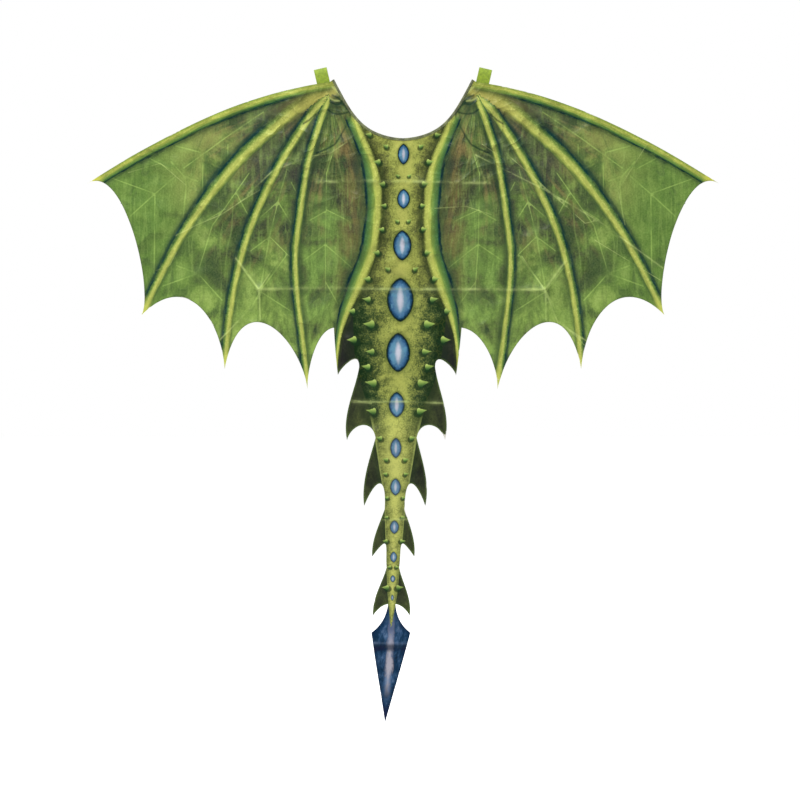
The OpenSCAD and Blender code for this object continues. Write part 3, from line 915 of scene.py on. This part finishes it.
def root_band(t, colour, mirrored, root, z):
    """The bright band along the root of each wing: root is positive on the wing's side."""
    half = z.rises(-0.50, -0.36) * 0.0055 + 0.0032 - z.rises(-0.20, -0.11) * 0.0023
    along, ragged, ripple = streaks(t, t.vector(root * 150.0, z * 26.0, 0.0), mirrored, 0.9, 0.40)
    place = (root / half + ripple + 4.0) / 9.0  # 0 to 1 from 4 half widths on the body to 5 on the wing
    strip = t.ramp(place, [
        (0.12, 50, 56, 36), (0.30, 46, 52, 34), (0.335, 100, 108, 54), (0.37, 142, 152, 72),
        (0.43, 158, 166, 80), (0.485, 142, 156, 72), (0.52, 104, 128, 60), (0.58, 76, 106, 55),
        (0.655, 54, 84, 52), (0.685, 22, 40, 46), (0.715, 24, 42, 44), (0.75, 48, 66, 46),
        (0.95, 58, 72, 46)])
    cover = t.ramp(place, [(0.10, 0.0), (0.22, 0.40), (0.31, 0.85), (0.35, 1.0), (0.72, 1.0), (0.755, 0.65),
                           (0.86, 0.35), (0.99, 0.0)], "EASE")
    strip = streaked(t, strip, along, ragged, 0.42, 92, 104, 50)
    on_wing = z.rises(-0.555, -0.535) * z.falls(-0.074, -0.060)
    return t.mix(cover * on_wing, colour, strip)


def printed_cloth():
    """The node group that paints the whole print."""
    group = bpy.data.node_groups.new("dragon_print", "ShaderNodeTree")
    group.interface.new_socket("Color", in_out="OUTPUT", socket_type="NodeSocketColor")
    t = Tree(group)
    place, px, _, z = t.field("place")
    spot_x = t.field("spot")[1]
    _, body, root, edge = t.field("zone")
    _, vein, crease, front = t.field("line")
    bone_share = t.field("bone")[2]
    ax = abs(px)
    mirrored = t.vector(ax, 0.0, z)
    wing = membrane(t, mirrored, ax, z, edge)
    wing = veins(t, wing, mirrored, vein)
    wing = bones(t, wing, mirrored, ax)
    wing = leading_edge(t, wing, mirrored, front, ax)
    wing = shoulder(t, wing, mirrored, ax, z)
    mottle = t.noise(place, 60.0, 5.0, 0.7)
    beside = t.ramp(mottle, [(0.35, 46, 54, 38), (0.55, 74, 82, 48), (0.75, 112, 120, 62)])
    tail = t.mix(z.rises(-0.40, -0.34), fins(t, place, edge, body, z), beside)
    beyond = ax - (-0.990 - z) * 0.9
    on_spade = z.falls(-0.9965, -0.9935) * beyond.falls(0.009, 0.010)
    tail = t.mix(on_spade, tail, spade(t, place, spot_x, z, edge))
    tail = hide(t, tail, place, body, z)
    colour = t.mix(root.rises(-0.0005, 0.0005), tail, wing)
    colour = root_band(t, colour, mirrored, root, z)
    colour = gems(t, colour, place, z)
    colour = thorns(t, colour, place)
    colour = creases(t, colour, place, crease, z)
    # Painted shade over the whole print, which is also made less green: darker to make up for lamps that
    # light it too brightly.
    colour = t.mix(1.0, colour, (0.80, 0.765, 0.86, 1.0), "MULTIPLY")
    colour = t.mix(1.0, colour, (0.010, 0.007, 0.010, 1.0), "SUBTRACT")
    seam = edge.falls(0.0004, 0.0022) * root.rises(0.0, 0.01) * front.rises(0.001, 0.004)
    bare = edge.falls(0.0004, 0.0016) * t.noise(place, 26.0, 2.0).rises(0.60, 0.66)
    colour = t.layers(colour, (seam * bone_share.falls(0.90, 0.97) * 0.42, 44, 58, 34),
                      (bare * 0.5, 216, 210, 206))
    t.add("NodeGroupOutput", {"Color": colour})
    return group


# ---------------------------------------------------------------- materials
THREAD_SPACING, THREAD_DEPTH, DENT_DEPTH = 0.0009, 0.00005, 0.0130
WAVE_UNIT = 0.314               # a wave texture's spacing in metres at a scale of 1


def weave(t, vector):
    """A plain weave's bump, from two sets of threads, over the cloth's small dents."""
    inputs = {"Vector": vector, "Scale": WAVE_UNIT / THREAD_SPACING, "Distortion": 0.4}
    warp, weft = (t.node("ShaderNodeTexWave", inputs, "Fac", wave_type="BANDS", bands_direction=way,
                         wave_profile="SIN") for way in ("X", "Z"))
    _, px, _, z = t.field("place")
    near = t.away(abs(px), z, 0.17, -0.11).falls(0.03, 0.17)
    here = t.noise(vector, 6.0, 2.0).rises(0.46, 0.60) + 0.15 + near * 0.9
    folds = t.ridged(vector, 11.0) * (here * 0.30) + t.ridged(vector, 26.0, 1.0, 1.0) * (near * 0.16 + 0.03)
    dents = t.bump(folds + t.noise(vector, 24.0, 2.0, 0.4) * 0.5, DENT_DEPTH)
    return t.bump(warp * weft, THREAD_DEPTH, 0.35, dents)


def material(name, roughness, sheen, specular):
    """A new material and its node helper."""
    mat = bpy.data.materials.new(name)
    mat.use_nodes = True
    inputs = mat.node_tree.nodes["Principled BSDF"].inputs
    inputs["Roughness"].default_value = roughness
    inputs["Sheen Weight"].default_value = sheen
    inputs["Sheen Roughness"].default_value = 0.4
    inputs["Specular IOR Level"].default_value = specular
    return mat, Tree(mat.node_tree)


def finished(mat, t, colour, normal=None):
    """The material with its colour and its bumps."""
    inputs = mat.node_tree.nodes["Principled BSDF"].inputs
    t.put(inputs["Base Color"], colour)
    if normal is not None:
        t.put(inputs["Normal"], normal)
    return mat


def print_front(group):
    """The printed side."""
    mat, t = material("printed_front", 0.5, 0.0, 0.08)
    colour = t.node("ShaderNodeGroup", {}, "Color", node_tree=group)
    return finished(mat, t, colour, weave(t, t.field("spot")[0]))


def print_back(group):
    """The unprinted side: white polyester with the print showing through faintly."""
    mat, t = material("plain_back", 0.6, 0.1, 0.25)
    place = t.field("spot")[0]
    thin = t.noise(t.stretched(place, 300.0, 1.0, 40.0), 1.0, 2.0).rises(0.3, 0.7)
    base = t.mix(thin, rgb(184, 186, 180), rgb(193, 194, 189))
    colour = t.mix(0.27, base, t.node("ShaderNodeGroup", {}, "Color", node_tree=group))
    return finished(mat, t, colour, weave(t, place))


def elastic_material(name, light, dark, rib):
    """Woven elastic: ribs along its length and fine picks across it, from the stored place on the band."""
    mat, t = material(name, 0.7, 0.25, 0.2)
    vector, across, along, _ = t.field("band")
    woven = t.wave(across, rib) * 0.5 + t.wave(along, 0.0013) * 0.35
    shade = woven * 0.25 + t.noise(vector, 160.0, 3.0)
    return finished(mat, t, t.mix(shade.rises(0.25, 0.8), dark, light), t.bump(woven, 0.00018, 0.6))


def tape_material():
    """The dark band bound around the neck."""
    mat, t = material("binding_tape", 0.75, 0.2, 0.2)
    _, across, along, _ = t.field("band")
    ribs = t.wave(along, 0.0008)
    shade = ribs * 0.12 + t.noise(t.vector(across, along, 0.0), 90.0, 4.0)
    colour = t.ramp(shade, [(0.3, 50, 53, 40), (0.5, 76, 81, 55), (0.75, 108, 113, 76)])
    return finished(mat, t, colour, t.bump(ribs, 0.0001, 0.5))


def label_material():
    """Blank white satin tape."""
    mat, t = material("label_tape", 0.4, 0.1, 0.35)
    fibres = t.noise(t.stretched(t.field("band")[0], 900.0, 60.0, 1.0), 1.0, 2.0)
    colour = t.mix(fibres.rises(0.3, 0.7), rgb(226, 226, 222), rgb(242, 242, 238))
    return finished(mat, t, colour, t.bump(fibres, 0.00006))


def thread_material(name, colour):
    """Twisted sewing thread."""
    mat, t = material(name, 0.55, 0.3, 0.3)
    _, across, along, _ = t.field("band")
    twist = t.wave(across * 3.0 + along, 0.0007)
    # Painted shade: the thread is darker in the grooves of its twist.
    colour = t.mix(twist.rises(-0.8, 0.8), t.mix(0.45, colour, rgb(20, 30, 16)), colour)
    return finished(mat, t, colour, t.bump(twist, 0.00008))


def make_materials():
    """Every material of the sewn pieces and the cloth, by a short word."""
    group = printed_cloth()
    return {
        "cloth": [print_front(group), print_back(group)],
        "elastic": elastic_material("lime_elastic", rgb(114, 134, 30), rgb(84, 102, 24), 0.0022),
        "thin": elastic_material("green_elastic", rgb(70, 104, 48), rgb(44, 72, 34), 0.0011),
        "tape": tape_material(),
        "label": label_material(),
        "thread": thread_material("green_thread", rgb(96, 140, 40)),
        "dark_thread": thread_material("dark_thread", rgb(74, 80, 56)),
        "grey_thread": thread_material("grey_thread", rgb(150, 150, 146)),
    }


# ---------------------------------------------------------------- bands, threads and other sewn pieces
STRAP_WIDTH, STRAP_THICKNESS = 0.025, 0.0013
LOOP_WIDTH, LOOP_THICKNESS = 0.006, 0.0009
LABEL_WIDTH, LABEL_THICKNESS = 0.030, 0.0006
BINDING_HALF = 0.00112          # from the middle of the cloth to the outside of the neck binding
STRAP_ACROSS, STRAP_UP, STRAP_SLANT = 0.151, -0.001, 13     # where its line is on the cloth; degrees
LOOP_ACROSS = 0.532
# The arm strap's middle line, in millimetres: how far from the cloth it is where it is sewn and where it
# comes free, how far up and down its free run goes, and where the lower end reaches the cloth.
STRAP_LEVEL, STRAP_CLEAR, STRAP_TOP, STRAP_LOW, STRAP_FOOT = 1.2, 12, 5, -285, -315
# The same for a finger loop, with where its two ends come free and how far out it reaches.
LOOP_LEVEL, LOOP_CLEAR, LOOP_TOP, LOOP_LOW, LOOP_REACH = 1.0, 5, -175, -215, 25


def claim(piece, slot, body, *nodes, blend=None):
    """Parents a piece to the body that carries it and hides the CAD nodes that it stands for. slot, what the
    piece is made of, is not used.
    With blend, a body and two points, the piece is not parented and its place is baked into its mesh; the
    body and points in blend are not used."""
    if blend is None:
        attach(piece, body)
    else:
        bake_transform(piece)
    if nodes:
        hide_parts(*nodes)


def mesh_object(name, verts, faces, band, mat, sharp=40):
    """A smooth piece with edges sharper than so many degrees kept, and its place on the band stored."""
    mesh = bpy.data.meshes.new(name)
    mesh.from_pydata([tuple(v) for v in verts], [], faces)
    mesh.materials.append(mat)
    store(mesh, "band", "POINT", band)
    mesh.polygons.foreach_set("use_smooth", [True] * len(mesh.polygons))
    mesh.update()
    mesh.set_sharp_from_angle(angle=math.radians(sharp))
    return added(name, mesh)


def tube_faces(rings, around, start=0):
    """The faces of a closed tube whose rings of points follow one another: its sides, then its two ends."""
    def at(ring, i):
        return start + ring * around + i % around
    sides = [(at(r, i), at(r, i + 1), at(r + 1, i + 1), at(r + 1, i)) for r in range(rings - 1)
             for i in range(around)]
    ends = [tuple(at(0, i) for i in reversed(range(around))), tuple(at(rings - 1, i) for i in range(around))]
    return sides + ends


def directions(line):
    """At each point of a line, the way it runs and how far along it the point is."""
    tangent = np.gradient(line, axis=0)
    tangent /= np.linalg.norm(tangent, axis=1, keepdims=True)
    along = np.concatenate([[0], np.cumsum(np.linalg.norm(np.diff(line, axis=0), axis=1))])
    return tangent, along


def band_section(width, thickness):
    """A flat band's rounded section: across and out of the band, over one face and back over the other."""
    w, h = width / 2, thickness / 2
    across = [-w, -w * 0.97, -w * 0.6, 0, w * 0.6, w * 0.97, w]
    top = [(a, h * (0.35 if abs(a) == w else 0.9 if abs(a) > w * 0.9 else 1.0)) for a in across]
    return top + [(a, -b) for a, b in reversed(top)]


def band(name, line, width, thickness, place, mat, level, clear):
    """A flat band along a line of (outward, up) points, in its own plane, then put in place.
    It follows the cloth's rise wholly up to level out of the cloth, and not at all from clear on."""
    line = np.array(line, float)
    tangent, along = directions(line)
    normal = np.column_stack([-tangent[:, 1], tangent[:, 0]])
    section = band_section(width, thickness)
    verts, fields, follows = [], [], []
    for p, n, s in zip(line, normal, along):
        for a, b in section:
            q = p + n * b
            verts.append(place @ Vector((a, q[0], q[1])))
            fields.append((a, s, b))
            follows.append(float(np.clip((clear - p[0]) / (clear - level), 0, 1)))
    obj = mesh_object(name, verts, tube_faces(len(line), len(section)), fields, mat)
    rise = height(np.array([(v.co.x, v.co.z) for v in obj.data.vertices]))
    for v, r, share in zip(obj.data.vertices, rise, follows):
        v.co.y += float(r) * share
    return obj


def strap_line():
    """The free strap's line, the same as in the CAD: outward and up, in metres."""
    rise, reach, level, clear, low = 28.4, 96, STRAP_LEVEL, STRAP_CLEAR, STRAP_LOW
    return np.vstack([
        curve((level, STRAP_TOP), (level, 23), (6, rise), (14, rise), 14),
        curve((14, rise), (60, 24), (reach, -60), (reach, -125), 26),
        curve((reach, -125), (reach, -190), (clear, 50 + low), (clear, low), 26),
        np.array([(clear, low)]) * MM,
    ])


def sewn_strap_ends():
    """The two sewn ends: the upper one, then the lower one with its lift to the free strap."""
    level, foot, bend = STRAP_LEVEL, STRAP_FOOT, STRAP_FOOT + 15
    upper = np.array([(level, z) for z in np.linspace(-30, STRAP_TOP, 12)]) * MM
    lower = np.vstack([curve((STRAP_CLEAR, STRAP_LOW), (STRAP_CLEAR, bend), (level, bend), (level, foot), 14),
                       np.array([(level, z) for z in np.linspace(foot, foot - 30, 8)]) * MM])
    return upper, lower


def stitch_row(a, b, pitch=0.0028, length=0.0021):
    """The stitches in a row from a to b: the middle of each, its direction and its length."""
    a, b = np.array(a, float), np.array(b, float)
    span = np.linalg.norm(b - a)
    n = max(1, int(span / pitch))
    d = (b - a) / span
    return [(a + d * (i + 0.5) * span / n, d, length) for i in range(n)]


def stitches(name, rows, y, place, mat, radius=0.00024):
    """Short raised threads, flat on a sewn piece at y. The rows lie across and up."""
    verts, faces, fields = [], [], []
    # Each ring's place along the thread, and how thick the thread is there.
    rings = [(-1.0, 0.35), (-0.7, 0.9), (0.0, 1.0), (0.7, 0.9), (1.0, 0.35)]
    around = 6
    for middle, d, length in (stitch for row in rows for stitch in row):
        faces += tube_faces(len(rings), around, len(verts))
        n = np.array([-d[1], d[0]])
        for t, r in rings:
            for i in range(around):
                w = 2 * math.pi * i / around
                p = middle + d * t * length / 2 + n * math.cos(w) * radius * r
                lift = y + (math.sin(w) * r + 0.2 - 0.5 * t * t) * radius
                verts.append(place @ Vector((p[0], lift, p[1])))
                fields.append((w * radius, t * length / 2, 0))
    return mesh_object(name, verts, faces, fields, mat, 80)


def box_rows(half, low, high, cross=True):
    """A sewn box, with a cross in it."""
    corners = [(-half, low), (half, low), (half, high), (-half, high)]
    rows = [stitch_row(corners[i], corners[(i + 1) % 4]) for i in range(4)]
    if cross:
        rows += [stitch_row(corners[0], corners[2]), stitch_row(corners[1], corners[3])]
    return rows


def make_strap(side, word, mats):
    """One arm strap: the free run, its two sewn ends and their stitching."""
    slant = Matrix.Rotation(math.radians(side * STRAP_SLANT), 4, "Y")
    place = Matrix.Translation((side * STRAP_ACROSS, 0, STRAP_UP)) @ slant
    level, clear = STRAP_LEVEL * MM, STRAP_CLEAR * MM
    shape = (STRAP_WIDTH, STRAP_THICKNESS, place, mats["elastic"], level, clear)
    free = band(f"{word}_arm_strap_elastic", strap_line(), *shape)
    bend = (f"{word}_strap", (0, clear, 0), (0, 0.060, 0))
    claim(free, "elastic", "back", f"{word}_arm_strap", blend=bend)
    for end, line in zip(("upper", "lower"), sewn_strap_ends()):
        piece = band(f"{word}_strap_{end}_elastic", line, *shape)
        claim(piece, "elastic", "back", f"{word}_strap_{end}_end")
    rows = box_rows(0.0095, -0.027, -0.006) + box_rows(0.0095, -0.342, -0.318)
    sewn = stitches(f"{word}_strap_thread", rows, 0.00190, place, mats["thread"])
    claim(sewn, "thread", "back", f"{word}_strap_stitching")


def make_finger_loop(side, word, mats):
    """One finger loop at a wing tip, with its sewn ends and stitching."""
    place = Matrix.Translation((side * LOOP_ACROSS, 0, 0))
    level, clear, top, low, reach = LOOP_LEVEL, LOOP_CLEAR, LOOP_TOP, LOOP_LOW, LOOP_REACH
    shape = (LOOP_WIDTH, LOOP_THICKNESS, place, mats["thin"], level * MM, clear * MM)
    middle = (top + low) / 2
    line = np.vstack([curve((clear, top), (clear, top - 8), (reach, top), (reach, middle), 14),
                      curve((reach, middle), (reach, low), (clear, low + 8), (clear, low), 14),
                      np.array([(clear, low)]) * MM])
    loop = band(f"{word}_finger_loop_elastic", line, *shape)
    bend = (f"{word}_finger", (0, clear * MM, 0), (0, 0.018, 0))
    claim(loop, "thin_elastic", f"{word}_wing_tip", f"{word}_finger_loop", blend=bend)
    rows = []
    for end, start, way in (("upper", top, 1), ("lower", low, -1)):
        root = start + way * 7
        bends = (clear, start), (clear, start + way * 3), (level, root - way * 3), (level, root)
        line = np.vstack([curve(*bends, 10), np.array([(level, root + way * s) for s in (0, 3, 6, 9)]) * MM])
        piece = band(f"{word}_finger_loop_{end}_end", line, *shape)
        claim(piece, "thin_elastic", f"{word}_wing_tip", f"{word}_finger_loop_ends")
        rows += box_rows(0.0018, *sorted(((root + way * 2) * MM, (root + way * 8) * MM)), cross=False)
    sewn = stitches(f"{word}_finger_loop_thread", rows, 0.00150, place, mats["thread"])
    claim(sewn, "thread", f"{word}_wing_tip", f"{word}_finger_loop_stitching")


def make_binding(mats):
    """The band bound around the neckline: it wraps the cloth's edge from front to back."""
    edge = np.vstack([placed(NECKLINE, -1)[:0:-1], placed(NECKLINE, 1)])
    tangent, along = directions(edge)
    inward = np.column_stack([tangent[:, 1], -tangent[:, 0]])
    # The section: how far in from the edge, and how far out of the cloth, front first.
    half = [(0.0046, 0.00040), (0.0044, 0.00085), (0.0030, 0.00110), (0.0012, BINDING_HALF),
            (0.0002, 0.00080)]
    section = [(inn, -out) for inn, out in half] + [(-0.0003, 0.0)] + half[::-1]
    verts, fields = [], []
    for p, n, s, r in zip(edge, inward, along, height(edge)):
        for inn, out in section:
            q = p + n * inn
            verts.append((q[0], r + out, q[1]))
            fields.append((inn, s, out))
    faces = [face[::-1] for face in tube_faces(len(edge), len(section))]
    piece = mesh_object("neck_binding_tape", verts, faces, fields, mats["tape"])
    claim(piece, "binding_tape", "back", "neck_binding")
    inner = edge + inward * 0.0032
    rows = [stitch_row(a, b, 0.0030, 0.0022) for a, b in zip(inner, inner[1:])]
    for word, y in (("front", -BINDING_HALF), ("wearer", BINDING_HALF)):
        name = f"neck_binding_thread_{word}"
        claim(stitches(name, rows, y, Matrix.Identity(4), mats["dark_thread"], 0.0002), "thread", "back")


def make_label(mats):
    """The blank care label: a sewn top edge and a flap that curls slightly."""
    top, fold, gap, length, y = -0.118, -0.124, 0.0008, 0.038, 0.0009
    place = Matrix.Identity(4)
    shape = (LABEL_WIDTH, LABEL_THICKNESS, place, mats["label"], 0.010, 0.020)
    head = band("care_label_sewn_edge", [(y, z) for z in np.linspace(fold, top, 5)], *shape)
    claim(head, "label_tape", "back", "care_label_top")
    curl = [(y + 0.0035 * s * s, fold - gap - length * s) for s in np.linspace(0, 1, 14)]
    flap = band("care_label_flap", curl, *shape)
    claim(flap, "label_tape", "label", "care_label")
    rows = [stitch_row((-0.014, fold + 0.003), (0.014, fold + 0.003))]
    sewn = stitches("care_label_thread", rows, 0.0013, place, mats["grey_thread"])
    claim(sewn, "thread", "back", "care_label_stitching")


# ---------------------------------------------------------------- putting the cloth together
BEND = 0.016            # half the length of cloth about a fold, put into each piece's blend
ROOT_BEND = 0.004       # the same above the tail's first fold, which is close to the wings


def in_tail(middle):
    """Which triangles belong to the tail, below the notches beside it."""
    between = (middle[:, 0] > NOTCH_LEFT[0]) & (middle[:, 0] < NOTCH_RIGHT[0])
    return between & (middle[:, 1] < TAIL_CUTS[0])


def cloth_parts(middle):
    """Each piece of cloth: name, slot, its triangles, the body it starts on, its CAD node, and its blend."""
    tail, x, z = in_tail(middle), middle[:, 0], middle[:, 1]
    yield "back_cloth", "wing_cloth", ~tail & (np.abs(x) < WING_CUTS[0]), "back", "back_panel", None
    ends = WING_CUTS + [1.0]
    for side, word in ((1, "right"), (-1, "left")):
        before = "back"
        for i, part in enumerate(("arm", "forearm", "tip")):
            body = f"{word}_wing_{part}"
            keep = ~tail & (side * x > ends[i]) & (side * x < ends[i + 1])
            start, end = ((side * (WING_FOLDS[i] + d), 0, 0) for d in (-BEND, BEND))
            yield f"{body}_cloth", "wing_cloth", keep, before, f"{body}_panel", (body, start, end)
            before = body
    ends = TAIL_CUTS + [-2.0]
    before = "back"
    for i, (part, node) in enumerate((("root", "tail_root_panel"), ("middle", "tail_middle_panel"),
                                      ("lower", "tail_lower_panel"), ("end", "tail_spade"))):
        body = f"tail_{part}"
        keep = tail & (z > ends[i + 1]) & (z < ends[i])
        start, end = ((0, 0, TAIL_FOLDS[i] + d) for d in (BEND if i else ROOT_BEND, -BEND))
        yield f"{body}_cloth", "tail_cloth", keep, before, node, (body, start, end)
        before = body


def make_cloth(mats):
    """All pieces of the cloth, cut from one mesh so that they meet exactly."""
    points, triangles = cloth_triangles()
    rise = height(points)
    fields = print_fields(points, triangles)
    cloth = (points, triangles, rise, vertex_normals(points, rise, triangles), fields)
    for name, slot, keep, body, node, blend in cloth_parts(points[triangles].mean(1)):
        obj, area, p = cloth_piece(name, keep, cloth, mats["cloth"])
        claim(obj, slot, body, node, blend=blend)
        size = p.max(0) - p.min(0)


# ---------------------------------------------------------------- stage
WIDTH_SEEN = 1.5168             # width of the picture, in metres, where the cloth is
LENS, SENSOR = 100, 36          # in millimetres
VIEW_CENTRE = (-0.0057, -0.603)


def make_floor():
    """A pale floor below the tail."""
    low, far = CAD_BOX[0][2] - 0.12, 40
    mesh = bpy.data.meshes.new("floor")
    corners = [(-far, -far, low), (far, -far, low), (far, far, low), (-far, far, low)]
    mesh.from_pydata(corners, [], [(0, 1, 2, 3)])
    mat, t = material("pale_floor", 0.9, 0.0, 0.1)
    position = t.node("ShaderNodeNewGeometry", {}, "Position")
    colour = t.mix(t.noise(position, 1.5, 2.0), rgb(250, 250, 250), rgb(253, 253, 253))
    mesh.materials.append(finished(mat, t, colour))
    inputs = mat.node_tree.nodes["Principled BSDF"].inputs
    inputs["Emission Color"].default_value = (1, 1, 1, 1)
    inputs["Emission Strength"].default_value = 0.62
    added("floor", mesh)


def make_light():
    """A white studio, brighter where the camera sees it, and two soft lamps."""
    world = bpy.data.worlds.new("studio")
    bpy.context.scene.world = world
    world.use_nodes = True
    t = Tree(world.node_tree)
    background = world.node_tree.nodes["Background"]
    background.inputs["Color"].default_value = (1, 1, 1, 1)
    seen = t.node("ShaderNodeLightPath", {}, "Is Camera Ray")
    t.put(background.inputs["Strength"], seen * 0.60 + 0.40)
    aim = Vector((0, 0, -0.5))
    for name, at, size, power in (("key", (-1.0, -1.4, 2.9), 0.6, 275), ("fill", (2.6, 2.4, 0.8), 2.2, 90)):
        light = bpy.data.lights.new(name, "AREA")
        light.size = size
        light.energy = power
        lamp = added(name, light)
        lamp.location = at
        lamp.rotation_euler = (aim - Vector(at)).to_track_quat("-Z", "Y").to_euler()


def make_camera():
    """A long lens straight in front."""
    data = bpy.data.cameras.new("camera")
    data.lens = LENS
    data.clip_end = 60
    camera = added("camera", data)
    camera.location = (VIEW_CENTRE[0], -LENS / SENSOR * WIDTH_SEEN, VIEW_CENTRE[1])
    camera.rotation_euler = (math.pi / 2, 0, 0)
    bpy.context.scene.camera = camera
    bpy.context.scene.view_settings.view_transform = "Standard"


# ---------------------------------------------------------------- making everything
make_floor()
make_light()
make_camera()
materials = make_materials()
make_cloth(materials)
for turn, side_word in ((1, "right"), (-1, "left")):
    make_strap(turn, side_word, materials)
    make_finger_loop(turn, side_word, materials)
make_binding(materials)
make_label(materials)
